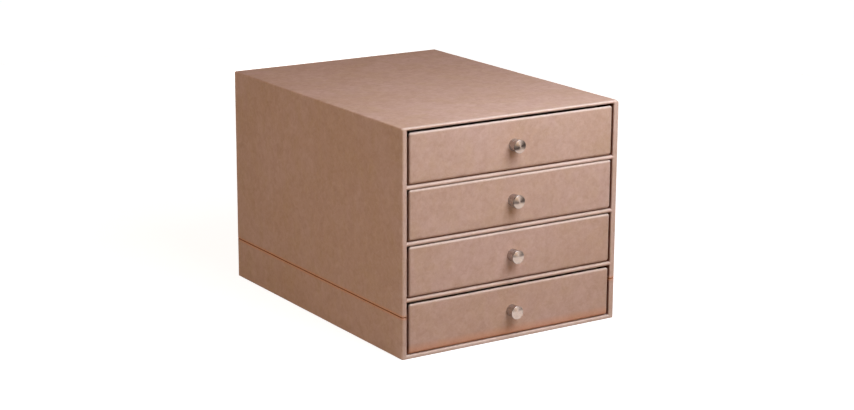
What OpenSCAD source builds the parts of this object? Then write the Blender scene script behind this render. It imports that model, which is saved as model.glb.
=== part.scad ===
// Desktop cabinet with four drawers: board covered in leatherette, with turned steel knobs.
// Millimetres. X is to the right, Y to the back and Z up. The origin is at the middle of the
// underside, and the drawers open towards -Y. Drawer 1 and shelf 1 are the top ones.

/* [Case] */
// Width of the case
case_w = 260; // [180:1:400]
// Depth of the case, without the knobs
case_d = 345; // [150:1:480]
// Height of the case
case_h = 232; // [150:1:400]
// Thickness of the top, side and back boards
shell_t = 1.5; // [1:0.1:5]
// Thickness of the inner side boards, which carry the shelves
inner_t = 3; // [1:0.1:8]
// Thickness of the shelf boards
shelf_t = 3; // [1.5:0.1:8]
// Thickness of the bottom board
bottom_t = 2.1; // [1.5:0.1:8]
// Thickness of the sheet that the case stands on
base_t = 0.8; // [0.4:0.1:3]
// Distance from the case's edge to the edge of that sheet
base_inset = 3; // [1:0.5:20]

/* [Covering] */
// Thickness of the leatherette and of the linings
cover_t = 0.6; // [0.4:0.05:1.2]
// Rounding of the board edges under the leatherette
board_r = 1; // [0.2:0.1:2]
// How far the leatherette turns in behind the front of the case
turn_in = 15; // [5:1:60]
// How far the leatherette turns down inside the trays
tray_turn_in = 12; // [3:1:20]
// Height of the middle of the seam
seam_z = 43.6; // [12:0.2:120]
// Width of the seam
seam_w = 1; // [0.4:0.1:3]
// Depth of the seam below the leatherette around it
seam_depth = 0.2; // [0.05:0.05:0.3]

/* [Drawers] */
// Thickness of the drawer front boards
front_t = 2.5; // [1.5:0.1:8]
// Thickness of the tray side and back boards
wall_t = 2; // [1:0.1:6]
// Thickness of the tray floor boards
floor_t = 2; // [1:0.1:6]
// How far the tray's sides and back are lower than its front
rim_drop = 5; // [0.5:0.5:15]
// Gap at each side of a drawer
side_gap = 2.4; // [0.3:0.1:6]
// Gap above each drawer, from the top one down
top_gaps = [2.5, 0.5, 1, 2.2]; // [0.3:0.1:5]
// Gap below each drawer
rest_gap = 0.3; // [0.2:0.05:1]
// How much higher the lower edge of each drawer's front is than the tray's underside
front_lift = 1; // [0:0.1:1.5]
// Gap behind each drawer
back_gap = 0.5; // [0.3:0.1:20]
// How far the drawer fronts stand behind the case's front
front_set = 0.3; // [0:0.1:5]
// Rounding of the corners of the drawer fronts
front_corner_r = 2.4; // [1:0.1:6]

/* [Knobs] */
// Diameter of the knob at the drawer
knob_base_d = 12.6; // [7:0.1:20]
// Diameter of the knob's head
knob_head_d = 13.6; // [8:0.1:30]
// Length of the knob
knob_l = 11.4; // [10:0.1:30]
// Length of the knob's straight stem
knob_stem_l = 5; // [1:0.1:8]
// Length of the straight rim round the head
knob_rim_l = 2.2; // [0.5:0.1:4]
// Bevel at the edge of the knob's face
knob_bevel = 0.4; // [0.1:0.05:0.8]

/* [Screws] */
// Diameter of the screw
screw_d = 4; // [2.5:0.5:5]
// Length of the screw under its head
screw_l = 12; // [8:1:14]
// Diameter of the screw's head
screw_head_d = 8; // [6:0.1:12]
// Height of the screw's head
screw_head_h = 2.6; // [1:0.1:4]
// Width of the slots in the screw's head
slot_w = 1.1; // [0.5:0.1:2]
// Diameter of the washer
washer_d = 10; // [7:0.1:16]
// Thickness of the washer
washer_t = 0.8; // [0.4:0.1:2]
// Gap round the screw in the drawer front and the washer
hole_gap = 0.3; // [0.1:0.05:1]
// Gap round the screw in the knob
thread_gap = 0.05; // [0.02:0.01:0.2]
// Depth of the knob's hole past the end of the screw
hole_spare = 1; // [0.3:0.1:2]

/* [Hidden] */
$fn = 48;
DRAWERS = [1:len(top_gaps)];
SHELVES = [1:len(top_gaps) - 1];
DRAWER_PARTS = ["front_board", "left_wall", "right_wall", "back_wall", "floor_board",
                "cover", "lining", "knob", "washer", "screw"];

LEATHERETTE = "#b79683";
SEAM = "#8a5230";
BOARD = "#a9987f";
LINING = "#cdb9a4";
DARK_LINING = "#5c4436";
FELT = "#4a3a30";
STEEL = "#b8babd";

// Cuts reach this far past the surfaces that they open
over = 1;
// Rounded edges of the case's boards, and of the leatherette over them
core_r = min(board_r, shell_t);
soft_r = core_r + cover_t;
// Leatherette over an edge that was left sharp
tight_r = 1.5 * cover_t;

// Strips that show from the front
side_strip = cover_t + shell_t + inner_t + cover_t;
top_strip = cover_t + shell_t + cover_t;
bottom_strip = base_t + cover_t + bottom_t + cover_t;
shelf_strip = cover_t + shelf_t + cover_t;
mouth_r = min(soft_r, top_strip / 2);
shelf_r = min(core_r, shelf_t / 2.2);

// The boards' outer faces, and the compartments' inner faces
front_y = -case_d / 2;
back_y = case_d / 2;
board_x = case_w / 2 - cover_t;
board_z0 = base_t + cover_t;
board_z1 = case_h - cover_t;
inside_x = case_w / 2 - side_strip;
inside_y1 = back_y - cover_t - shell_t - cover_t;
inside_z0 = bottom_strip;
inside_z1 = case_h - top_strip;

// Drawers, with the heights of the compartments counted from the lowest up
function total(list, n = 0) = n < len(list) ? list[n] + total(list, n + 1) : 0;
drawer_count = len(top_gaps);
gaps_h = total(top_gaps) + drawer_count * rest_gap;
shelves_h = (drawer_count - 1) * shelf_strip;
front_h = (inside_z1 - inside_z0 - shelves_h - gaps_h) / drawer_count;
function cell_h(i) = rest_gap + front_h + top_gaps[i - 1];
function cell_z(i) = i == drawer_count ? inside_z0 : cell_z(i + 1) + cell_h(i + 1) + shelf_strip;
function shelf_z(i) = cell_z(i) - shelf_strip;
drawer_x = inside_x - side_gap;
drawer_y0 = front_y + front_set;
drawer_y1 = inside_y1 - back_gap;
rim_h = front_h - rim_drop;
front_strip = cover_t + front_t + cover_t;
tray_board_y0 = drawer_y0 + cover_t + front_t;
tray_board_y1 = drawer_y1 - cover_t - wall_t;
tray_board_x = drawer_x - cover_t - wall_t;
tray_floor_z = cover_t + floor_t;
knob_z = front_h / 2;
screw_y = tray_board_y0 + cover_t + washer_t;
screw_r = screw_d / 2;

// A box from its lowest corner to its highest
module box(low, high) {
    translate(low)
        cube(high - low);
}

// A centred rectangle with round corners
module soft_rect(w, h, r) {
    square([w - 2 * r, h], center = true);
    square([w, h - 2 * r], center = true);
    for (x = [-1, 1], y = [-1, 1])
        translate([x * (w / 2 - r), y * (h / 2 - r)])
            circle(r);
}

// A box from corner to corner with every edge rounded by r, but by front_r as seen from the front
module soft_box(low, high, r, front_r) {
    size = high - low;
    translate((low + high) / 2)
        intersection() {
            linear_extrude(size.z, center = true)
                soft_rect(size.x, size.y, r);
            rotate([90, 0, 0])
                linear_extrude(size.y, center = true)
                    soft_rect(size.x, size.z, front_r);
            rotate([90, 0, 90])
                linear_extrude(size.x, center = true)
                    soft_rect(size.y, size.z, r);
        }
}

// The case's outer form. inset moves its sides inwards, but not its top and bottom.
module case_form(inset = 0) {
    soft_box([-case_w / 2 + inset, front_y + inset, base_t],
             [case_w / 2 - inset, back_y - inset, case_h], soft_r - inset, soft_r - inset);
}

// All that the case's boards fill, and the space between them
module case_block() {
    soft_box([-board_x, front_y + cover_t, board_z0], [board_x, back_y - cover_t, board_z1],
             core_r, core_r);
}

// The space between the boards, grown by the leatherette and lining that cover them
module board_space(y0) {
    box([-inside_x - cover_t, y0, inside_z0 - cover_t],
        [inside_x + cover_t, inside_y1 + cover_t, inside_z1 + cover_t]);
}

// The empty inside of the case, open at the front
module case_space() {
    box([-inside_x, front_y - over, inside_z0], [inside_x, inside_y1, inside_z1]);
}

// What a rounded edge round the front opening takes away outside that opening
module mouth_round() {
    difference() {
        box([-inside_x - mouth_r, front_y, inside_z0 - mouth_r],
            [inside_x + mouth_r, front_y + mouth_r, inside_z1 + mouth_r]);
        case_space();
        for (z = [inside_z0 - mouth_r, inside_z1 + mouth_r])
            translate([0, front_y + mouth_r, z])
                rotate([0, 90, 0])
                    cylinder(r = mouth_r, h = case_w, center = true);
        for (x = [-1, 1])
            translate([x * (inside_x + mouth_r), front_y + mouth_r, 0])
                cylinder(r = mouth_r, h = case_h);
    }
}

// The leatherette of the case, from z0 to z1
module case_cover(z0, z1, inset = 0) {
    difference() {
        intersection() {
            case_form(inset);
            box([-case_w, -case_d, z0], [case_w, case_d, z1]);
        }
        difference() {
            case_block();
            board_space(front_y + cover_t);
        }
        board_space(front_y + turn_in);
        case_space();
        mouth_round();
    }
}

module upper_cover() {
    color(LEATHERETTE)
        case_cover(seam_z + seam_w / 2, case_h + over);
}

module lower_cover() {
    color(LEATHERETTE)
        case_cover(0, seam_z - seam_w / 2);
}

module seam_band() {
    color(SEAM)
        case_cover(seam_z - seam_w / 2, seam_z + seam_w / 2, seam_depth);
}

module case_lining() {
    color(DARK_LINING)
        difference() {
            board_space(front_y + turn_in);
            case_space();
        }
}

module base_sheet() {
    color(FELT)
        box([-case_w / 2 + base_inset, front_y + base_inset, 0],
            [case_w / 2 - base_inset, back_y - base_inset, base_t]);
}

// A board of the case from corner to corner, with the case's rounded edges
module case_board(low, high) {
    color(BOARD)
        intersection() {
            box(low, high);
            case_block();
        }
}

module top_board() {
    case_board([-board_x, front_y + cover_t, board_z1 - shell_t],
               [board_x, back_y - cover_t, board_z1]);
}

module bottom_board() {
    case_board([-board_x + shell_t, front_y + cover_t, board_z0],
               [board_x - shell_t, back_y - cover_t - shell_t, board_z0 + bottom_t]);
}

module back_board() {
    case_board([-board_x + shell_t, back_y - cover_t - shell_t, board_z0],
               [board_x - shell_t, back_y - cover_t, board_z1 - shell_t]);
}

module left_board() {
    case_board([-board_x, front_y + cover_t, board_z0],
               [-board_x + shell_t, back_y - cover_t, board_z1 - shell_t]);
}

module right_board() {
    case_board([board_x - shell_t, front_y + cover_t, board_z0],
               [board_x, back_y - cover_t, board_z1 - shell_t]);
}

// side is -1 for the left and 1 for the right
module inner_side_board(side) {
    color(BOARD)
        translate([side * (board_x - shell_t - inner_t / 2), 0, 0])
            box([-inner_t / 2, front_y + cover_t, board_z0 + bottom_t],
                [inner_t / 2, back_y - cover_t - shell_t, board_z1 - shell_t]);
}

// A shelf with a round front edge. skin is what its covering adds to it, and x its half width.
module shelf_form(i, skin, x) {
    thick = shelf_t + 2 * skin;
    nose_r = shelf_r + skin;
    front = front_y + cover_t - skin;
    depth = inside_y1 - front;
    translate([-x, front, shelf_z(i) + shelf_strip / 2])
        rotate([90, 0, 90])
            linear_extrude(2 * x) {
                translate([2 * nose_r, 0])
                    soft_rect(4 * nose_r, thick, nose_r);
                translate([depth / 2 + nose_r, 0])
                    square([depth - 2 * nose_r, thick], center = true);
            }
}

module shelf(i) {
    color(BOARD)
        shelf_form(i, 0, inside_x);
}

module shelf_cover(i) {
    color(LEATHERETTE) {
        difference() {
            shelf_form(i, cover_t, inside_x);
            shelf_form(i, 0, inside_x + over);
        }
        intersection() {
            shelf_form(i, cover_t, inside_x + mouth_r);
            mouth_round();
        }
    }
}

// Puts a drawer's pieces at its place in the case
module at_drawer(i) {
    translate([0, 0, cell_z(i) + rest_gap])
        children();
}

// A round bar along the screw of a drawer, from y0 back to y1
module screw_bar(r, y0, y1) {
    translate([0, y1, knob_z])
        rotate([90, 0, 0])
            cylinder(r = r, h = y1 - y0);
}

// Everything inside a tray's boards above its floor, up to z1
module tray_board_space(z1) {
    box([-tray_board_x, tray_board_y0, tray_floor_z], [tray_board_x, tray_board_y1, z1]);
}

// The empty inside of a tray, up to z1
module tray_space(z1) {
    box([-tray_board_x + cover_t, tray_board_y0 + cover_t, tray_floor_z + cover_t],
        [tray_board_x - cover_t, tray_board_y1 - cover_t, z1]);
}

module front_blank() {
    intersection() {
        soft_box([-drawer_x + cover_t, drawer_y0 + cover_t, front_lift + cover_t],
                 [drawer_x - cover_t, tray_board_y0 + 2 * core_r, front_h - cover_t],
                 core_r, front_corner_r - cover_t);
        box([-drawer_x, drawer_y0, 0], [drawer_x, tray_board_y0, front_h]);
    }
}

module front_board() {
    color(BOARD)
        difference() {
            front_blank();
            screw_bar(screw_r + hole_gap, drawer_y0, tray_board_y0 + over);
        }
}

module floor_board() {
    color(BOARD)
        box([-drawer_x + cover_t, tray_board_y0, cover_t],
            [drawer_x - cover_t, drawer_y1 - cover_t, tray_floor_z]);
}

module side_wall(side) {
    color(BOARD)
        translate([side * (drawer_x - cover_t - wall_t / 2), 0, 0])
            box([-wall_t / 2, tray_board_y0, tray_floor_z],
                [wall_t / 2, drawer_y1 - cover_t, rim_h - cover_t]);
}

module back_wall() {
    color(BOARD)
        box([-tray_board_x, tray_board_y1, tray_floor_z],
            [tray_board_x, drawer_y1 - cover_t, rim_h - cover_t]);
}

module tray_cover() {
    color(LEATHERETTE)
        difference() {
            union() {
                soft_box([-drawer_x, drawer_y0, front_lift],
                         [drawer_x, drawer_y0 + front_strip, front_h], soft_r, front_corner_r);
                soft_box([-drawer_x, tray_board_y0 - cover_t, 0],
                         [drawer_x, drawer_y1, rim_h], tight_r, tight_r);
            }
            front_blank();
            floor_board();
            side_wall(-1);
            side_wall(1);
            back_wall();
            tray_board_space(rim_h - tray_turn_in);
            tray_space(front_h + over);
            screw_bar(screw_r + hole_gap, drawer_y0 - over, tray_board_y0 + front_t);
        }
}

module tray_lining() {
    color(LINING)
        difference() {
            tray_board_space(rim_h - tray_turn_in);
            tray_space(front_h);
            screw_bar(screw_r + hole_gap, tray_board_y0 - over, tray_board_y0 + front_t);
        }
}

// Outline of half a knob, as [radius, distance from the drawer]
function knob_flare(steps) =
    let (base_r = knob_base_d / 2, head_r = knob_head_d / 2)
    let (flare_l = knob_l - knob_stem_l - knob_rim_l)
    [for (k = [0:steps])
        let (a = 90 * k / steps)
        [head_r - (head_r - base_r) * cos(a), knob_stem_l + flare_l * sin(a)]];

module knob() {
    head_r = knob_head_d / 2;
    outline = concat(
        [[0, 0], [knob_base_d / 2, 0]],
        knob_flare(8),
        [[head_r, knob_l - knob_bevel], [head_r - knob_bevel, knob_l], [0, knob_l]]
    );
    color(STEEL)
        difference() {
            translate([0, drawer_y0, knob_z])
                rotate([90, 0, 0])
                    rotate_extrude()
                        polygon(outline);
            screw_bar(screw_r + thread_gap, screw_y - screw_l - hole_spare, drawer_y0 + over);
        }
}

module washer() {
    color(STEEL)
        difference() {
            screw_bar(washer_d / 2, screw_y - washer_t, screw_y);
            screw_bar(screw_r + hole_gap, screw_y - washer_t - over, screw_y + over);
        }
}

module screw() {
    slot_l = 0.6 * screw_head_d;
    slot_h = screw_head_h / 2;
    color(STEEL)
        difference() {
            union() {
                screw_bar(screw_r, screw_y - screw_l, screw_y);
                screw_bar(screw_head_d / 2, screw_y, screw_y + screw_head_h);
            }
            for (a = [0, 90])
                translate([0, screw_y + screw_head_h, knob_z])
                    rotate([0, a, 0])
                        cube([slot_l, 2 * slot_h, slot_w], center = true);
        }
}

top_board();
bottom_board();
left_board();
right_board();
back_board();
inner_side_board(-1);  // left_inner_board
inner_side_board(1);  // right_inner_board
upper_cover();
lower_cover();
seam_band();
case_lining();
base_sheet();
for (i = SHELVES) {
    shelf(i);
    shelf_cover(i);
}
for (i = DRAWERS) {
    at_drawer(i) front_board();
    at_drawer(i) side_wall(-1);
    at_drawer(i) side_wall(1);
    at_drawer(i) back_wall();
    at_drawer(i) floor_board();
    at_drawer(i) tray_cover();
    at_drawer(i) tray_lining();
    at_drawer(i) knob();
    at_drawer(i) washer();
    at_drawer(i) screw();
}
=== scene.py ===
# Leatherette desktop cabinet with four drawers: the looks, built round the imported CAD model.
import bmesh
import bpy
import math
from mathutils import Matrix, Vector, noise


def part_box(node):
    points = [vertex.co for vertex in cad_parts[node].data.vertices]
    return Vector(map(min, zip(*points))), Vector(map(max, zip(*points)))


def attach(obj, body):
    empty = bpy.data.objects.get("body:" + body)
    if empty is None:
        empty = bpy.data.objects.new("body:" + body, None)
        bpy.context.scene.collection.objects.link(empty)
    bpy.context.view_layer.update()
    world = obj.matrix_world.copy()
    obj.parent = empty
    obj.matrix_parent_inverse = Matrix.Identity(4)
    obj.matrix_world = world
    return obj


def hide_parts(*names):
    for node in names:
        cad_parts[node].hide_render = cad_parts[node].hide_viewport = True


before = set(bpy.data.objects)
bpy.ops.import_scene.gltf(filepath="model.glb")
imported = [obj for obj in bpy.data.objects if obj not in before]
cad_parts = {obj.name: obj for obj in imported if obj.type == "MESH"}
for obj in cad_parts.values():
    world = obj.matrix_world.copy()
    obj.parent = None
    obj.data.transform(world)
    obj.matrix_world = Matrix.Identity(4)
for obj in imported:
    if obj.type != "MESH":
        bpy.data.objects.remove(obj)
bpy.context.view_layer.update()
MM = 0.001
SHELVES = (1, 2, 3)
DRAWERS = (1, 2, 3, 4)

# ---------------------------------------------------------------- sizes, read from the CAD nodes
up_lo, up_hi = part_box("upper_cover")
low_lo, low_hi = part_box("lower_cover")
lining_lo, lining_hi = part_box("case_lining")
# the leatherette and the linings are as thick as this
COVER_T = 0.6 * MM
CASE_LO, CASE_HI = low_lo, up_hi
SEAM_Z = (low_hi.z + up_lo.z) / 2
SEAM_W = up_lo.z - low_hi.z
# the compartments: half their width, the lowest floor and the highest ceiling
INSIDE_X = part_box("shelf_1")[1].x
INSIDE_Z0 = lining_lo.z + COVER_T
INSIDE_Z1 = lining_hi.z - COVER_T
# behind this the turned-in leatherette ends and the lining begins
TURN_Y = lining_lo.y

# ---------------------------------------------------------------- roundings and small offsets
# the folds round the front and the back of the case, at its mouth and along the sill
EDGE_R = 1.55 * MM
MOUTH_R = min(1.3 * MM, (CASE_HI.z - INSIDE_Z1) - EDGE_R)
SILL_R = min(2.0 * MM, (INSIDE_Z0 - CASE_LO.z) - EDGE_R)
# the case's corners at its front, and its long edges
CORNER_R = 2.8 * MM
LONG_R = 1.5 * MM
# the case's mouth is a little to the left of the middle
LEAN = -0.45 * MM
# the covering reaches this far below the CAD's, beside the base sheet and clear of the desk
UNDER = 0.65 * MM


# ---------------------------------------------------------------- mesh helpers
def paint(obj, mat):
    obj.data.materials.clear()
    obj.data.materials.append(mat)


def mesh_object(name, bm):
    mesh = bpy.data.meshes.new(name)
    bm.to_mesh(mesh)
    bm.free()
    obj = bpy.data.objects.new(name, mesh)
    bpy.context.scene.collection.objects.link(obj)
    return obj


def new_piece(name, bm, body, mat):
    """A smooth, painted object that moves with its body."""
    obj = mesh_object(name, bm)
    for p in obj.data.polygons:
        p.use_smooth = True
    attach(obj, body)
    paint(obj, mat)
    return obj


def within(x):
    """x, held between 0 and 1."""
    return max(0.0, min(1.0, x))


def stops(a, b, step, margin=0.9 * MM):
    """Points from a to b about step apart, with one margin in from each end."""
    span = b - a
    if abs(span) < 3 * margin:
        return [a, b]
    s = math.copysign(margin, span)
    inner_a, inner_b = a + s, b - s
    n = max(1, int(round(abs(inner_b - inner_a) / step)))
    return [a] + [inner_a + (inner_b - inner_a) * k / n for k in range(n + 1)] + [b]


def side_stops(width, height, step):
    """The stops along a rectangle's four sides, as fractions of each side."""
    across = [s / width for s in stops(0.0, width, step)]
    along = [s / height for s in stops(0.0, height, step)]
    return [across, along, across, along]


def arc(n):
    """The angles of a quarter turn in n steps."""
    return [math.pi / 2 * k / n for k in range(n + 1)]


def rect_loop(lo, hi, r, fractions, k, low=None):
    """Points anticlockwise round a rectangle with round corners.

    r is the corners' radius, and low that of the lower two where it differs. fractions comes
    from side_stops, and k is the number of steps in each corner.
    """
    (x0, z0), (x1, z1) = lo, hi
    r = max(r, 0.01 * MM)
    b = r if low is None else low
    corners = [((x1 - b, z0 + b), -90, b), ((x1 - r, z1 - r), 0, r),
               ((x0 + r, z1 - r), 90, r), ((x0 + b, z0 + b), 180, b)]
    sides = [((x0 + b, z0), (x1 - b, z0)), ((x1, z0 + b), (x1, z1 - r)),
             ((x1 - r, z1), (x0 + r, z1)), ((x0, z1 - r), (x0, z0 + b))]
    points = []
    for side, parts, corner in zip(sides, fractions, corners):
        (ax, az), (bx, bz) = side
        for f in parts:
            points.append((ax + (bx - ax) * f, az + (bz - az) * f))
        (cx, cz), start, bend = corner
        for j in range(1, k):
            a = math.radians(start + 90 * j / k)
            points.append((cx + bend * math.cos(a), cz + bend * math.sin(a)))
    return points


def bridge(bm, rings, closed=True):
    """Quads between consecutive rings of vertices."""
    for a, b in zip(rings, rings[1:]):
        n = len(a)
        for i in range(n if closed else n - 1):
            j = (i + 1) % n
            bm.faces.new((a[i], a[j], b[j], b[i]))


def wander(bm, amount, scale, seed):
    """Small smooth unevenness, as glued leatherette has."""
    bm.normal_update()
    shift = Vector((seed * 17.3, seed * 5.1, seed * 9.7))
    for v in bm.verts:
        v.co += v.normal * (noise.noise(v.co / scale + shift) * amount)


def leather_mesh():
    """A mesh with two values at each vertex: edge is a pale fold, partly finish stretched pale and
    partly painted highlight, and inside is painted shade in a recess.
    """
    bm = bmesh.new()
    for name in ("edge", "inside"):
        bm.verts.layers.float.new(name)
    return bm


def marks(bm):
    """The layers of the two values."""
    return bm.verts.layers.float["edge"], bm.verts.layers.float["inside"]


def put_row(bm, rows, points, pale=0.0, dark=0.0):
    """Adds a row of vertices to rows, with the same two values at each."""
    edge, inside = marks(bm)
    rows.append([bm.verts.new(p) for p in points])
    for v in rows[-1]:
        v[edge], v[inside] = pale, dark


def keep_edges_above(bm, least, gain):
    """The pale edge, which is partly a painted highlight, stays where a fold faces up towards the
    lamps, and fades where it faces sideways or down.
    """
    edge = bm.verts.layers.float["edge"]
    bm.normal_update()
    for v in bm.verts:
        v[edge] *= within(least + gain * v.normal.z)


# ---------------------------------------------------------------- camera
def add_camera():
    """The photo's camera, as a fit to the edges of the case gives it, in the case's own frame."""
    # the photo's width and the focal length in pixels, and the sensor's width in millimetres
    photo_width, focal, sensor = 854.0, 2020.366, 36.0
    place = Vector((-1126.377, -1761.089, 644.856)) * MM
    right = Vector((0.840849, -0.541255, 0.003934)).normalized()
    down = Vector((-0.133063, -0.213749, -0.967784)).normalized()
    ahead = Vector((0.524658, 0.813237, -0.251752)).normalized()
    # the fit counts from the middle of the first pixel, and Blender's camera from its corner
    half_pixel = 0.5 / focal
    ahead = (ahead - right * half_pixel - down * half_pixel).normalized()
    right = (right - ahead * right.dot(ahead)).normalized()
    down = ahead.cross(right).normalized()
    cam = bpy.data.cameras.new("camera")
    cam.sensor_width = sensor
    cam.lens = sensor * focal / photo_width
    cam.clip_start = 0.05
    cam.clip_end = 60
    obj = bpy.data.objects.new("camera", cam)
    bpy.context.scene.collection.objects.link(obj)
    stand = Matrix((right, -down, -ahead)).transposed().to_4x4()
    stand.translation = place
    obj.matrix_world = stand
    bpy.context.scene.camera = obj


# ---------------------------------------------------------------- node helpers
class Nodes:
    """A material with short names for the nodes that it is made from."""

    def __init__(self, name):
        self.mat = bpy.data.materials.new(name)
        self.mat.use_nodes = True
        self.tree = self.mat.node_tree
        self.bsdf = self.tree.nodes["Principled BSDF"]
        self.here = self.add("ShaderNodeTexCoord").outputs["Object"]

    def add(self, kind, **props):
        n = self.tree.nodes.new(kind)
        for k, v in props.items():
            setattr(n, k, v)
        return n

    def link(self, a, b):
        self.tree.links.new(a, b)

    def value(self, socket, v):
        """Links v to the socket, or sets the socket where v is a plain value."""
        if hasattr(v, "is_output"):
            self.link(v, socket)
        else:
            socket.default_value = v

    def set(self, **kw):
        """Values or links for the shader's sockets, named with _ for a space."""
        for k, v in kw.items():
            self.value(self.bsdf.inputs[k.replace("_", " ")], v)

    def math(self, op, a, b=0.0):
        n = self.add("ShaderNodeMath", operation=op)
        self.value(n.inputs[0], a)
        self.value(n.inputs[1], b)
        return n.outputs[0]

    def times(self, a, b):
        return self.math("MULTIPLY", a, b)

    def attribute(self, name):
        return self.add("ShaderNodeAttribute", attribute_name=name).outputs["Fac"]

    def height(self):
        n = self.add("ShaderNodeSeparateXYZ")
        self.link(self.here, n.inputs[0])
        return n.outputs["Z"]

    def mapped(self, vector, **kw):
        n = self.add("ShaderNodeMapping")
        self.link(vector, n.inputs["Vector"])
        for k, v in kw.items():
            n.inputs[k].default_value = v
        return n.outputs[0]

    def noise(self, vector, scale=1.0, detail=2.0, rough=0.5, distort=0.0):
        n = self.add("ShaderNodeTexNoise")
        self.link(vector, n.inputs["Vector"])
        n.inputs["Scale"].default_value = scale
        n.inputs["Detail"].default_value = detail
        n.inputs["Roughness"].default_value = rough
        n.inputs["Distortion"].default_value = distort
        return n.outputs["Fac"]

    def cells(self, vector, scale):
        """The distance from the middle of the nearest of many small cells."""
        n = self.add("ShaderNodeTexVoronoi")
        self.link(vector, n.inputs["Vector"])
        n.inputs["Scale"].default_value = scale
        return n.outputs["Distance"]

    def remap(self, v, a, b, c=0.0, d=1.0):
        """v from the range a to b into the range c to d, held at its ends."""
        n = self.add("ShaderNodeMapRange")
        self.value(n.inputs["Value"], v)
        for i, x in zip((1, 2, 3, 4), (a, b, c, d)):
            n.inputs[i].default_value = x
        return n.outputs[0]

    def mix(self, fac, a, b, blend="MIX"):
        n = self.add("ShaderNodeMix", data_type="RGBA", blend_type=blend)
        self.value(n.inputs[0], fac)
        self.value(n.inputs[6], a)
        self.value(n.inputs[7], b)
        return n.outputs[2]

    def bump(self, height, distance, strength, normal=None):
        n = self.add("ShaderNodeBump")
        n.inputs["Strength"].default_value = strength
        n.inputs["Distance"].default_value = distance
        self.link(height, n.inputs["Height"])
        if normal:
            self.link(normal, n.inputs["Normal"])
        return n.outputs[0]


def srgb(r, g, b):
    """A colour of 0 to 255 as the linear colour that a socket takes."""
    out = []
    for c in (r, g, b):
        c /= 255.0
        out.append(c / 12.92 if c <= 0.04045 else ((c + 0.055) / 1.055) ** 2.4)
    return (*out, 1.0)


# ---------------------------------------------------------------- materials
def leatherette(name, offset=(0, 0, 0), seam=False, bounce_foot=None):
    """Washed leatherette. offset moves the pattern, seam dyes both sides of the case's seam, and
    the last argument is the height of a lower edge above which orange bounce light is painted."""
    m = Nodes(name)
    here = m.mapped(m.here, Location=offset)
    # patches of three tones, as a washed finish has, from the widest to the smallest
    patch = m.remap(m.noise(here, 13.0, 3.0, 0.5, 0.3), 0.35, 0.65)
    ochre = m.remap(m.noise(m.mapped(here, Scale=(1, 1, 0.8)), 46.0, 2.0, 0.5, 0.5), 0.45, 0.68)
    cloud = m.remap(m.noise(here, 100.0, 4.0, 0.55, 0.8), 0.32, 0.68)
    mottle = m.remap(m.noise(here, 270.0, 3.0, 0.6, 0.8), 0.3, 0.7)
    col = m.mix(patch, srgb(194, 158, 143), srgb(188, 151, 130))
    col = m.mix(m.times(ochre, 0.34), col, srgb(184, 150, 116))
    col = m.mix(m.times(cloud, 0.44), col, srgb(166, 130, 112))
    col = m.mix(m.times(mottle, 0.27), col, srgb(212, 182, 168))
    # pores
    grain = m.cells(here, 900.0)
    fine = m.noise(here, 1500.0, 2.0, 0.6)
    pore = m.math("SUBTRACT", 1.0, m.remap(grain, 0.0, 0.35))
    col = m.mix(m.times(pore, 0.12), col, srgb(120, 88, 70))
    # the folded edges are paler: partly the finish stretched pale over them, partly a painted
    # highlight where they face the lamps above
    pale_fold_and_highlight = m.times(m.attribute("edge"), m.remap(mottle, 0.0, 1.0, 0.72, 1.0))
    col = m.mix(pale_fold_and_highlight, col, srgb(226, 205, 192))
    # painted shade: the recesses, where the mesh's second value is high, are painted dark brown
    deep = m.mix(cloud, srgb(116, 57, 25), srgb(94, 45, 20))
    col = m.mix(m.attribute("inside"), col, deep)
    if bounce_foot:
        # painted orange light along the lowest drawer's lower edge, as if bounced up from the sill
        # below
        painted_bounce_light = m.remap(m.height(), bounce_foot + 2 * MM, bounce_foot + 11 * MM, 0.55, 0.0)
        col = m.mix(painted_bounce_light, col, srgb(208, 136, 96))
    if seam:
        # the dye of the seam has spread a little into the leatherette, unevenly
        off = m.math("ABSOLUTE", m.math("SUBTRACT", m.height(), SEAM_Z))
        rim = m.remap(off, 0.6 * MM, 3.2 * MM, 1.0, 0.0)
        ragged = m.remap(m.noise(here, 260.0, 3.0), 0.3, 0.7, 0.45, 1.0)
        col = m.mix(m.times(m.times(rim, ragged), 0.75), col, srgb(216, 142, 96))
    rough = m.math("ADD", m.remap(cloud, 0.0, 1.0, 0.62, 0.72), m.times(fine, 0.06))
    slow = m.noise(m.mapped(here, Scale=(22, 22, 22)), 1.0, 2.0)
    waves = m.bump(slow, 0.6 * MM, 0.5)
    relief = m.math("ADD", m.times(grain, 0.8), m.times(fine, 0.4))
    m.set(Base_Color=col, Roughness=rough, Normal=m.bump(relief, 0.05 * MM, 0.8, waves))
    m.set(Specular_IOR_Level=0.04, Sheen_Weight=0.02, Sheen_Roughness=0.5)
    return m.mat


def seam_material():
    m = Nodes("seam_edge")
    n = m.noise(m.here, 300.0, 4.0, 0.6)
    col = m.mix(m.remap(n, 0.3, 0.7), srgb(96, 50, 22), srgb(120, 66, 32))
    m.set(Base_Color=col, Roughness=m.remap(n, 0.3, 0.7, 0.55, 0.75))
    m.set(Normal=m.bump(n, 0.1 * MM, 0.7), Specular_IOR_Level=0.05)
    return m.mat


def paper(name, tone, second, fibres, flecks):
    """Lining paper in two tones, with fibres and flecks of two more."""
    m = Nodes(name)
    fibre = m.noise(m.mapped(m.here, Scale=(900, 160, 900)), 1.0, 3.0, 0.6)
    fleck = m.noise(m.here, 700.0, 2.0, 0.7)
    wide = m.noise(m.here, 16.0, 3.0)
    col = m.mix(m.remap(wide, 0.3, 0.7), tone, second)
    col = m.mix(m.remap(fibre, 0.45, 0.75, 0.0, 0.3), col, fibres)
    col = m.mix(m.remap(fleck, 0.62, 0.75, 0.0, 0.35), col, flecks)
    m.set(Base_Color=col, Roughness=m.remap(fleck, 0.3, 0.7, 0.8, 0.95))
    m.set(Normal=m.bump(m.math("ADD", fibre, fleck), 0.05 * MM, 0.5), Specular_IOR_Level=0.05)
    return m.mat


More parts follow.
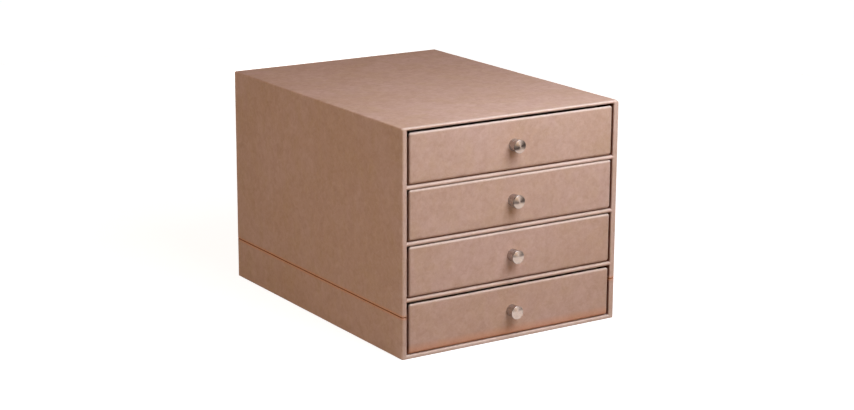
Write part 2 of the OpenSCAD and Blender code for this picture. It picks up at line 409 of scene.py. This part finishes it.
def board():
    m = Nodes("greyboard")
    fibre = m.noise(m.mapped(m.here, Scale=(700, 120, 700)), 1.0, 4.0, 0.7)
    fleck = m.cells(m.here, 380.0)
    col = m.mix(m.remap(fibre, 0.3, 0.7), srgb(150, 138, 120), srgb(172, 158, 138))
    col = m.mix(m.remap(fleck, 0.0, 0.12, 0.5, 0.0), col, srgb(96, 84, 70))
    m.set(Base_Color=col, Roughness=m.remap(fibre, 0.3, 0.7, 0.85, 0.95))
    m.set(Normal=m.bump(fibre, 0.12 * MM, 0.6))
    return m.mat


def felt():
    m = Nodes("base_felt")
    fuzz = m.noise(m.here, 1400.0, 4.0, 0.8)
    wide = m.noise(m.here, 30.0, 3.0)
    col = m.mix(m.remap(fuzz, 0.3, 0.7), srgb(62, 50, 42), srgb(92, 76, 64))
    col = m.mix(m.remap(wide, 0.3, 0.7, 0.0, 0.4), col, srgb(74, 62, 54))
    m.set(Base_Color=col, Roughness=m.remap(fuzz, 0.3, 0.7, 0.9, 1.0))
    m.set(Normal=m.bump(fuzz, 0.25 * MM, 0.9), Sheen_Weight=0.4)
    return m.mat


def steel(name, light, dark, spun_painted_reflection):
    """Steel between two tones, turned on a lathe or else rolled. A turned one has painted
    reflections on its face.
    """
    m = Nodes(name)
    wear = m.noise(m.here, 90.0 if spun_painted_reflection else 420.0, 2.0, 0.5)
    col = m.mix(m.remap(wear, 0.3, 0.7), (*light, 1), (*dark, 1))
    if spun_painted_reflection:
        # painted reflection: a turned face is painted brighter and darker in sectors round its
        # middle
        shade = m.mix(1.0, col, (0.12, 0.11, 0.11, 1), "MULTIPLY")
        col = m.mix(m.attribute("spun_painted_reflection"), shade, col)
        round_y = m.add("ShaderNodeTangent", direction_type="RADIAL", axis="Y")
        m.set(Anisotropic=0.9, Anisotropic_Rotation=0.25, Tangent=round_y.outputs[0])
    else:
        m.set(Normal=m.bump(wear, 0.01 * MM, 0.4))
    m.set(Base_Color=col, Roughness=m.remap(wear, 0.3, 0.7, 0.22, 0.30), Metallic=1.0)
    return m.mat


MATS = {
    "case": leatherette("leatherette_case", seam=True),
    "seam": seam_material(),
    "paper": paper("lining_paper", srgb(188, 163, 143), srgb(176, 150, 130),
                   srgb(214, 196, 178), srgb(134, 106, 86)),
    # the case's lining is painted dark, as a stand-in for the shade inside the case
    "painted_shade_paper": paper("painted_shade_lining_paper", srgb(92, 62, 44), srgb(78, 52, 36),
                        srgb(112, 80, 58), srgb(60, 39, 27)),
    "board": board(),
    "felt": felt(),
    "knob": steel("knob_steel", (0.50, 0.44, 0.41), (0.40, 0.35, 0.32), True),
    "face": steel("knob_face_steel", (0.47, 0.365, 0.31), (0.45, 0.35, 0.295), True),
    "screw": steel("screw_steel", (0.50, 0.49, 0.47), (0.42, 0.41, 0.40), False),
}
for i in DRAWERS:
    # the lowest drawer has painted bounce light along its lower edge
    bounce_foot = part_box("drawer_4_cover")[0].z if i == 4 else None
    offset = (0.31 * i, 0.17 * i, 0.23 * i)
    MATS[f"drawer_{i}"] = leatherette(f"leatherette_drawer_{i}", offset, bounce_foot=bounce_foot)
for i in SHELVES:
    offset = (0.11 * i, 0.41 * i, 0.07 * i)
    MATS[f"shelf_{i}"] = leatherette(f"leatherette_shelf_{i}", offset)


# ---------------------------------------------------------------- the case's leatherette
def case_shell():
    """The whole covering as one surface, in rings: from the turned-in end behind the mouth, over
    the front strips and along the outside, to the back, which is one face."""
    bm = leather_mesh()
    x0, x1, z0, z1 = CASE_LO.x, CASE_HI.x, CASE_LO.z - UNDER, CASE_HI.z
    y0, y1 = CASE_LO.y, CASE_HI.y
    step, mouth_corner = 9 * MM, 0.12 * MM
    fractions = side_stops(x1 - x0, z1 - z0, step)
    rings = []

    def ring(lo, hi, r, y, pale, dark, low=None):
        loop = rect_loop(lo, hi, r, fractions, 6, low)
        put_row(bm, rings, [(px, y, pz) for px, pz in loop], pale, dark)

    def mouth(grow, y, pale=0.0, dark=0.0):
        lo = (LEAN - INSIDE_X - grow, INSIDE_Z0 - grow * SILL_R / MOUTH_R)
        hi = (LEAN + INSIDE_X + grow, INSIDE_Z1 + grow)
        ring(lo, hi, mouth_corner, y, pale, dark)

    def outer(inset, y, pale=0.0, corner=CORNER_R):
        # the lower edges are folded more tightly than the upper ones
        rise = inset * 0.4
        low = max(min(corner, 0.8 * MM) - rise, 0.3 * MM)
        upper = max(corner - inset, 0.5 * MM)
        ring((x0 + inset, z0 + rise), (x1 - inset, z1 - inset), upper, y, pale, 0.0, low)

    # painted shade deep in the mouth, fading out over its rounded front edge
    mouth(0, TURN_Y, dark=1.0)
    mouth(0, y0 + 6 * MM, dark=1.0)
    mouth(0, y0 + MOUTH_R + 0.5 * MM, dark=0.8)
    for a in arc(6):
        grow, back = MOUTH_R * (1 - math.cos(a)), MOUTH_R * (1 - math.sin(a))
        mouth(grow, y0 + back, 1.0, 0.5 * math.cos(a) ** 3)
    for a in arc(8):
        outer(EDGE_R * (1 - math.sin(a)), y0 + EDGE_R * (1 - math.cos(a)), 0.75)
    # the corners are rounder at the front than along the case, and paler there: partly finish
    # stretched pale, partly painted highlight
    for past, pale, corner in (
        (0.7 * MM, 0.65, 2.6 * MM),
        (1.4 * MM, 0.25, 2.3 * MM),
        (2.6 * MM, 0.0, 1.9 * MM),
        (4.5 * MM, 0.0, LONG_R),
    ):
        outer(0, y0 + EDGE_R + past, pale, corner)
    for y in stops(y0 + EDGE_R, y1 - EDGE_R, step)[2:-1]:
        outer(0, y, corner=LONG_R)
    for a in arc(8):
        outer(EDGE_R * (1 - math.cos(a)), y1 - EDGE_R * (1 - math.sin(a)), corner=LONG_R)
    outer(EDGE_R + 0.8 * MM, y1, corner=LONG_R)
    bridge(bm, rings)
    bm.faces.new(reversed(rings[-1]))
    bmesh.ops.recalc_face_normals(bm, faces=bm.faces)
    keep_edges_above(bm, -0.3, 2.0)
    # less painted shade on the sill, a painted highlight where the sill's fold faces up, and a
    # little of the pale colour over the front strips
    edge, inside = marks(bm)
    front_y, sill_z = y0 + 2 * MM, INSIDE_Z0 + 0.2 * MM
    for v in bm.verts:
        at_front, on_sill = v.co.y < front_y, v.co.z < sill_z
        if on_sill:
            v[inside] *= 0.25
        if at_front and on_sill:
            v[edge] = max(v[edge], within(0.4 + 1.5 * v.normal.z))
        elif at_front and v.normal.y < -0.5:
            v[edge] = max(v[edge], 0.18)
    return bm


def cut(bm, z):
    """Adds a level row of vertices at height z."""
    geom = bm.verts[:] + bm.edges[:] + bm.faces[:]
    bmesh.ops.bisect_plane(bm, geom=geom, plane_co=(0, 0, z), plane_no=(0, 0, 1), dist=1e-7)


def case_covers():
    """The two coverings and the seam between them, cut from one surface so that they meet."""
    shell = case_shell()
    half = SEAM_W / 2
    # rows of vertices for the seam's groove and for the raised rims beside it
    rows = (half * 0.5, half, half + 0.2 * MM, half + 0.5 * MM)
    for off in sorted(side * r for side in (-1, 1) for r in rows):
        cut(shell, SEAM_Z + off)
    wander(shell, 0.10 * MM, 30 * MM, 1)
    shell.normal_update()
    groove = ((half * 0.8, -0.28 * MM), (half * 1.05, -0.10 * MM), (half + 0.3 * MM, 0.04 * MM))
    for v in shell.verts:
        off = abs(v.co.z - SEAM_Z)
        for reach, rise in groove:
            if off < reach:
                v.co += v.normal * rise
                break
    for name, node, slot, mat, keep in (
        ("case_cover_upper", "upper_cover", "leatherette", "case", lambda off: off > half),
        ("case_cover_lower", "lower_cover", "leatherette", "case", lambda off: off < -half),
        ("case_seam", "seam_band", "seam_edge", "seam", lambda off: abs(off) < half),
    ):
        bm = shell.copy()
        drop = [f for f in bm.faces if not keep(f.calc_center_median().z - SEAM_Z)]
        bmesh.ops.delete(bm, geom=drop, context="FACES")
        obj = new_piece(name, bm, "case", MATS[mat])
        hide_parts(node)
    shell.free()


# ---------------------------------------------------------------- shelves
def shelf_cover(i):
    lo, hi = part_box(f"shelf_{i}_cover")
    y0, y1, z0, z1 = lo.y, hi.y, lo.z, hi.z
    # how far the nose's upper and lower roundings reach back, and down or up
    upper, fall, lower, rise = 3.4 * MM, 2.3 * MM, 1.8 * MM, 1.6 * MM
    step, nose_pale = 12 * MM, 0.6
    # the profile from the back, over the top and the nose, and back below: y, z, edge, inside. The
    # inside value is painted shade, on the hidden top and underside and fading out over the nose
    profile = [(y, z1, 0.0, 1.0) for y in reversed(stops(y0 + upper, y1, step))]
    for a in arc(10)[1:]:
        y, z = y0 + upper * (1 - math.sin(a)), z1 - fall * (1 - math.cos(a))
        profile.append((y, z, nose_pale, max(0.0, 1.0 - 1.3 * a)))
    for a in reversed(arc(7)[1:]):
        y, z = y0 + lower * (1 - math.sin(a)), z0 + rise * (1 - math.cos(a))
        profile.append((y, z, nose_pale, max(0.0, 0.5 - a)))
    profile += [(y, z0, 0.0, 1.0) for y in stops(y0 + lower, y1, step)]
    bm = leather_mesh()
    edge, inside = marks(bm)
    # at the mouth the nose runs into the case's rounded edge
    ends = INSIDE_X + MOUTH_R * 0.98
    rings = []
    for x in stops(LEAN - ends, LEAN + ends, 6 * MM, 0.8 * MM):
        put_row(bm, rings, [(x, y, z) for y, z, pale, dark in profile])
        for v, (y, z, pale, dark) in zip(rings[-1], profile):
            v[edge], v[inside] = pale, dark
    bridge(bm, rings, closed=False)
    bm.faces.new(rings[0])
    bm.faces.new(reversed(rings[-1]))
    bmesh.ops.recalc_face_normals(bm, faces=bm.faces)
    keep_edges_above(bm, 0.3, 1.3)
    # behind the front edge it stays between the inner walls
    for v in bm.verts:
        if v.co.y > y0 + MOUTH_R + 0.3 * MM:
            left = LEAN - INSIDE_X if v.co.y < TURN_Y else -INSIDE_X
            v.co.x = max(left, min(INSIDE_X, v.co.x))
    wander(bm, 0.07 * MM, 26 * MM, 2 + i)
    obj = new_piece(f"shelf_{i}_leather", bm, "case", MATS[f"shelf_{i}"])
    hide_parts(f"shelf_{i}_cover")


# ---------------------------------------------------------------- drawers
# how fast the pale edge, partly a painted highlight, fades over each front's rounding: the lower
# the number, the wider it is
FRONT_FADE = {1: 1.2, 2: 0.4, 3: 0.35, 4: 1.4}


def drawer_front(bm, lo, hi, z0, back, fade):
    """The covered front, in rings from its face at lo.y to its back. z0 is its lower edge."""
    # the rounding reaches further along the face than back, so that the edge looks soft
    along, deep, corner, back_r = 2.6 * MM, 1.7 * MM, 2.4 * MM, 1.3 * MM
    fractions = side_stops(hi.x - lo.x, hi.z - z0, 7 * MM)
    rings = []

    def ring(inset, y, pale=0.0):
        low, high = (lo.x + inset, z0 + inset), (hi.x - inset, hi.z - inset)
        loop = rect_loop(low, high, max(corner - inset, 0.3 * MM), fractions, 8)
        put_row(bm, rings, [(px, y, pz) for px, pz in loop], pale)

    ring(along + 0.9 * MM, lo.y)
    for a in arc(10):
        inset, behind = along * (1 - math.sin(a)), deep * (1 - math.cos(a))
        ring(inset, lo.y + behind, math.sin(a) ** fade)
    for a in arc(5):
        ring(back_r * (1 - math.cos(a)), back - back_r * (1 - math.sin(a)))
    ring(back_r + 0.8 * MM, back)
    bridge(bm, rings)
    bm.faces.new(rings[0])
    bm.faces.new(reversed(rings[-1]))


def drawer_tray(bm, body, lo, hi, back):
    """The covered tray, in rings: from under its floor, up its outside, over the rim and down
    inside to the lining. back is the rear of the front."""
    wall_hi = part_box(f"{body}_left_wall")[1]
    y0, y1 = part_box(f"{body}_floor_board")[0].y - COVER_T, hi.y
    rim_z = wall_hi.z + COVER_T
    inner_x = -wall_hi.x - COVER_T
    inner_y0 = back - 0.05 * MM
    inner_y1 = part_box(f"{body}_back_wall")[0].y - COVER_T
    lining_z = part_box(f"{body}_lining")[1].z
    edge_r = 1.0 * MM
    rim_r = min(1.2 * MM, (hi.x - inner_x) * 0.45)
    step = 9 * MM
    fractions = side_stops(hi.x - lo.x, y1 - y0, step)
    rings = []

    def ring(low, high, r, z):
        loop = rect_loop(low, high, r, fractions, 6)
        put_row(bm, rings, [(px, py, z) for px, py in loop])

    def outer(inset, z, r=edge_r):
        ring((lo.x + inset, y0 + inset), (hi.x - inset, y1 - inset), r, z)

    def inner(grow, z):
        low, high = (-inner_x - grow, inner_y0 - grow), (inner_x + grow, inner_y1 + grow)
        ring(low, high, 0.2 * MM, z)

    outer(edge_r + 0.9 * MM, lo.z, 0.1 * MM)
    for a in arc(5):
        outer(edge_r * (1 - math.sin(a)), lo.z + edge_r * (1 - math.cos(a)))
    for z in stops(lo.z + edge_r, rim_z - rim_r, step)[1:-1]:
        outer(0, z)
    for a in arc(6):
        outer(rim_r * (1 - math.cos(a)), rim_z - rim_r * (1 - math.sin(a)))
    for a in reversed(arc(6)):
        inner(rim_r * (1 - math.cos(a)), rim_z - rim_r * (1 - math.sin(a)))
    for z in stops(rim_z - rim_r, lining_z, 5 * MM)[1:]:
        inner(0, z)
    bridge(bm, rings)
    bm.faces.new(reversed(rings[0]))


def drawer_cover(i):
    body = f"drawer_{i}"
    lo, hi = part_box(f"{body}_cover")
    board_lo, board_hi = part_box(f"{body}_front_board")
    back = board_hi.y + COVER_T
    bm = leather_mesh()
    drawer_front(bm, lo, hi, board_lo.z - COVER_T, back, FRONT_FADE[i])
    drawer_tray(bm, body, lo, hi, back)
    bmesh.ops.recalc_face_normals(bm, faces=bm.faces)
    keep_edges_above(bm, 0.12, 2.2)
    wander(bm, 0.09 * MM, 28 * MM, 10 + i)
    obj = new_piece(f"{body}_leather", bm, body, MATS[body])
    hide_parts(f"{body}_cover")


# ---------------------------------------------------------------- turned parts
# the hole in a knob for its screw, the thread outside and at its root, and the washer's hole
KNOB_HOLE_R, THREAD_R, ROOT_R, WASHER_HOLE_R = 2.05 * MM, 1.95 * MM, 1.6 * MM, 2.3 * MM


def lathe(profile, centre, steps):
    """A form turned about a line along Y. profile has pairs of a radius and a distance from the
    centre towards the front."""
    bm = bmesh.new()
    turns = [2 * math.pi * k / steps for k in range(steps)]
    rings = []
    for r, d in profile:
        y = centre.y - d
        places = [(centre.x + r * math.cos(t), y, centre.z + r * math.sin(t)) for t in turns]
        rings.append([bm.verts.new(p) for p in (places if r > 0 else places[:1])])
    for a, b in zip(rings, rings[1:]):
        for k in range(steps):
            j = (k + 1) % steps
            if len(a) == 1:
                bm.faces.new((a[0], b[j], b[k]))
            elif len(b) == 1:
                bm.faces.new((a[k], a[j], b[0]))
            else:
                bm.faces.new((a[k], a[j], b[j], b[k]))
    bmesh.ops.recalc_face_normals(bm, faces=bm.faces)
    return bm


def bell(turn, middle, width):
    """1 at the middle, falling off smoothly on both sides of it, in degrees."""
    away = (turn - middle + 180) % 360 - 180
    return math.exp(-(away / width) ** 2)


# The painted reflections on each knob's face: how dark its dark sectors are, and the level that
# they reach down to, in parts of the radius from the middle; below it the face is painted bright.
# The higher knobs are darker, and in more of the face.
KNOB_PAINTED_REFLECTIONS = {1: (1.0, -0.45), 2: (0.9, -0.2), 3: (0.65, 0.1), 4: (0.5, 0.3)}


def knob(i):
    body = f"drawer_{i}"
    lo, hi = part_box(f"{body}_knob")
    centre = Vector(((lo.x + hi.x) / 2, hi.y, (lo.z + hi.z) / 2))
    length, head_r = hi.y - lo.y, (hi.x - lo.x) / 2
    # a straight stem flares out to a straight rim with a bevel
    stem_r, stem, rim, bevel = 6.3 * MM, 5.0 * MM, 2.2 * MM, 0.4 * MM
    flare = length - stem - rim
    rim_from, rim_to = stem + flare, length - bevel
    # close pairs of points keep the edges between the smooth parts crisp
    profile = [
        (KNOB_HOLE_R, 0),
        (stem_r - 0.5 * MM, 0),
        (stem_r - 0.15 * MM, 0),
        (stem_r, 0.15 * MM),
        (stem_r, 0.5 * MM),
        (stem_r, stem - 0.4 * MM),
        (stem_r, stem),
    ]
    for a in arc(12)[1:]:
        profile.append((head_r - (head_r - stem_r) * math.cos(a), stem + flare * math.sin(a)))
    for d in (rim_from + 0.3 * MM, rim_to - 0.3 * MM, rim_to - 0.06 * MM):
        profile.append((head_r, d))
    for a in arc(4)[1:]:
        profile.append((head_r - bevel * (1 - math.cos(a)), rim_to + bevel * math.sin(a)))
    # the face is slightly domed, as a turned face is
    dome = 0.5 * MM
    profile = [(r, d - dome * max(0.0, d - rim_from) / rim) for r, d in profile]
    for k in range(7, -1, -1):
        profile.append(((head_r - bevel) * k / 8, length - dome * (k / 8) ** 2))
    bm = lathe(profile, centre, 96)
    spun_painted_reflection = bm.verts.layers.float.new("spun_painted_reflection")
    dark, level = KNOB_PAINTED_REFLECTIONS[i]
    for v in bm.verts:
        v[spun_painted_reflection] = 1.0
        if v.co.y < centre.y - rim_from - 0.5 * MM:
            px, pz = (v.co.x - centre.x) / head_r, (v.co.z - centre.z) / head_r
            turn = math.degrees(math.atan2(px, pz))
            # painted reflection: dark to the right of the middle and at the lower left, a painted
            # highlight straight up
            shade = 0.6 * dark * (bell(turn, 75, 42) + bell(turn, -115, 48))
            sectors = 0.62 - shade + 0.38 * bell(turn, -5, 24)
            above = within(0.5 + (pz - level) / 0.3)
            from_middle = min(1.0, math.hypot(px, pz) / 0.15)
            v[spun_painted_reflection] = max(0.0, 1.0 - above * (1.0 - sectors) * from_middle)
    obj = new_piece(f"{body}_knob_turned", bm, body, MATS["knob"])
    obj.data.materials.append(MATS["face"])
    for p in obj.data.polygons:
        if p.normal.y < -0.95 and p.center.y < centre.y - stem:
            p.material_index = 1
    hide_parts(f"{body}_knob")


def washer(i):
    body = f"drawer_{i}"
    lo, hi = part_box(f"{body}_washer")
    centre = Vector(((lo.x + hi.x) / 2, hi.y, (lo.z + hi.z) / 2))
    r, thick, hole, bevel = (hi.x - lo.x) / 2, hi.y - lo.y, WASHER_HOLE_R, 0.15 * MM
    profile = [
        (hole, thick),
        (hole, bevel),
        (hole + bevel, 0),
        (r - bevel, 0),
        (r, bevel),
        (r, thick - bevel),
        (r - bevel, thick),
        (hole + bevel, thick),
        (hole, thick - bevel),
    ]
    bm = lathe(profile, centre, 64)
    obj = new_piece(f"{body}_washer_disc", bm, body, MATS["screw"])
    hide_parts(f"{body}_washer")


def cross_recess(obj, top, turn):
    """Cuts a tapering cross, turned by turn degrees, into the screw head whose middle is at top."""
    wide, long, deep, proud = 0.55 * MM, 2.4 * MM, 1.5 * MM, 0.5 * MM
    bm = bmesh.new()
    for a in (0, 90):
        spin = Matrix.Rotation(math.radians(a + turn), 3, "Y")
        corners = []
        for size, y in ((0.45, top.y - deep), (1.0, top.y + proud)):
            for sx, sz in ((-1, -1), (1, -1), (1, 1), (-1, 1)):
                p = spin @ Vector((sx * long * size, 0, sz * wide * size))
                corners.append(bm.verts.new((top.x + p.x, y, top.z + p.z)))
        bm.faces.new(corners[3::-1])
        bm.faces.new(corners[4:])
        bridge(bm, [corners[:4], corners[4:]])
    bmesh.ops.recalc_face_normals(bm, faces=bm.faces)
    cutter = mesh_object("cutter", bm)
    mod = obj.modifiers.new("recess", "BOOLEAN")
    mod.operation, mod.object, mod.solver, mod.use_self = "DIFFERENCE", cutter, "EXACT", True
    bpy.context.view_layer.update()
    graph = bpy.context.evaluated_depsgraph_get()
    done = bpy.data.meshes.new_from_object(obj.evaluated_get(graph))
    obj.modifiers.clear()
    obj.data = done
    bpy.data.objects.remove(cutter)


def screw(i):
    body = f"drawer_{i}"
    lo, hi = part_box(f"{body}_screw")
    end = Vector(((lo.x + hi.x) / 2, lo.y, (lo.z + hi.z) / 2))
    head_r = (hi.x - lo.x) / 2
    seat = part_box(f"{body}_washer")[1].y
    length, head_h = seat - lo.y, hi.y - seat
    pitch = 0.7 * MM
    # threaded shank, from its end in the knob: a radius and a distance towards the head
    profile = [(0, 0), (1.5 * MM, 0), (THREAD_R - 0.1 * MM, 0.5 * MM)]
    d = 0.6 * MM
    while d < length - 0.4 * MM:
        profile += [(THREAD_R, d), (ROOT_R, d + pitch / 2)]
        d += pitch
    profile.append((THREAD_R, length))
    # pan head
    profile.append((head_r - 0.15 * MM, length))
    profile.append((head_r, length + 0.2 * MM))
    profile.append((head_r, length + head_h * 0.35))
    for a in arc(6)[1:]:
        r = head_r * 0.55 + head_r * 0.45 * math.cos(a)
        profile.append((r, length + head_h * (0.35 + 0.65 * math.sin(a))))
    profile += [(head_r * 0.3, length + head_h), (0, length + head_h)]
    bm = lathe([(r, -d) for r, d in profile], end, 64)
    obj = new_piece(f"{body}_screw_pan_head", bm, body, MATS["screw"])
    cross_recess(obj, Vector((end.x, hi.y, end.z)), 20 * i)
    for p in obj.data.polygons:
        p.use_smooth = True
    obj.data.set_sharp_from_angle(angle=math.radians(35))
    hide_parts(f"{body}_screw")


# ---------------------------------------------------------------- stage and light
def seen_rays(tree):
    """1 for a ray from the camera, or one that a mirror or glass passes on, and else 0."""
    path = tree.nodes.new("ShaderNodeLightPath")
    seen = path.outputs["Is Camera Ray"]
    for kind in ("Is Glossy Ray", "Is Transmission Ray"):
        either = tree.nodes.new("ShaderNodeMath")
        either.operation = "MAXIMUM"
        tree.links.new(seen, either.inputs[0])
        tree.links.new(path.outputs[kind], either.inputs[1])
        seen = either.outputs[0]
    return seen


def add_floor():
    """A floor that is grey to the lamps and white to the eye, a little less so near the case."""
    bm = bmesh.new()
    bmesh.ops.create_grid(bm, x_segments=24, y_segments=24, size=9.0)
    floor = mesh_object("floor", bm)
    m = Nodes("floor_pale")
    near = m.add("ShaderNodeVectorMath", operation="LENGTH")
    m.link(m.here, near.inputs[0])
    white = m.remap(near.outputs["Value"], 0.3, 1.8, 0.88, 1.0)
    m.set(Base_Color=(0.45, 0.45, 0.45, 1), Roughness=0.9, Specular_IOR_Level=0.0)
    m.set(Emission_Color=(1, 1, 1, 1), Emission_Strength=m.times(seen_rays(m.tree), white))
    floor.data.materials.append(m.mat)


def add_world():
    """A world that looks white, and gives no light of its own."""
    world = bpy.data.worlds.new("world")
    bpy.context.scene.world = world
    world.use_nodes = True
    background = world.node_tree.nodes["Background"]
    background.inputs["Color"].default_value = (1, 1, 1, 1)
    world.node_tree.links.new(seen_rays(world.node_tree), background.inputs["Strength"])


def add_lamp(name, place, aim, size, power, colour):
    light = bpy.data.lights.new(name, "AREA")
    light.shape = "RECTANGLE"
    light.size, light.size_y = size
    light.energy = power
    light.color = colour
    obj = bpy.data.objects.new(name, light)
    bpy.context.scene.collection.objects.link(obj)
    obj.location = place
    obj.rotation_euler = (Vector(aim) - Vector(place)).to_track_quat("-Z", "Y").to_euler()


# name, place, the point that it is aimed at, size, watts, colour
LAMPS = [
    # two soft boxes above the front, whose tints cancel out on it but show in the knobs' shadows
    ("key", (0.08, -0.48, 0.60), (0, -0.16, 0.18), (0.45, 0.45), 4.1, (0.626, 0.853, 1.0)),
    ("wide", (0.14, -0.66, 0.78), (0, -0.15, 0.15), (0.75, 0.75), 2.65, (1.0, 0.604, 0.6)),
    ("fill", (-1.2, -0.1, 0.3), (0, 0, 0.1), (0.8, 0.5), 5.16, (1.0, 0.863, 0.70)),
    ("top", (-0.1, 0.0, 1.5), (0, 0, 0.12), (1.2, 1.0), 3.8, (1.0, 0.60, 0.30)),
    ("front", (0.2, -2.0, 0.5), (0, 0, 0.12), (1.2, 0.8), 6.4, (1.0, 0.68, 0.30)),
    # these two light the back and the right side, low enough to leave the top as it is
    ("back", (0.2, 1.5, 0.1), (0, 0, 0.1), (1.0, 0.22), 7.5, (1.0, 0.88, 0.74)),
    ("right", (1.3, 0.4, 0.1), (0, 0.1, 0.1), (0.8, 0.22), 4.2, (1.0, 0.88, 0.74)),
]


# ---------------------------------------------------------------- the scene
add_camera()
case_covers()
for i in SHELVES:
    shelf_cover(i)
for i in DRAWERS:
    drawer_cover(i)
    knob(i)
    washer(i)
    screw(i)

# the CAD's own solids that stay in view
for name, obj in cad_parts.items():
    # the case's lining gets the dark paper that stands in for shade
    if name == "case_lining":
        paint(obj, MATS["painted_shade_paper"])
    elif name.endswith("_lining"):
        paint(obj, MATS["paper"])
    elif name == "base_sheet":
        paint(obj, MATS["felt"])
    elif not name.endswith(("_cover", "_knob", "_washer", "_screw", "seam_band")):
        paint(obj, MATS["board"])

add_floor()
add_world()
for lamp in LAMPS:
    add_lamp(*lamp)

bpy.context.scene.view_settings.view_transform = "Standard"
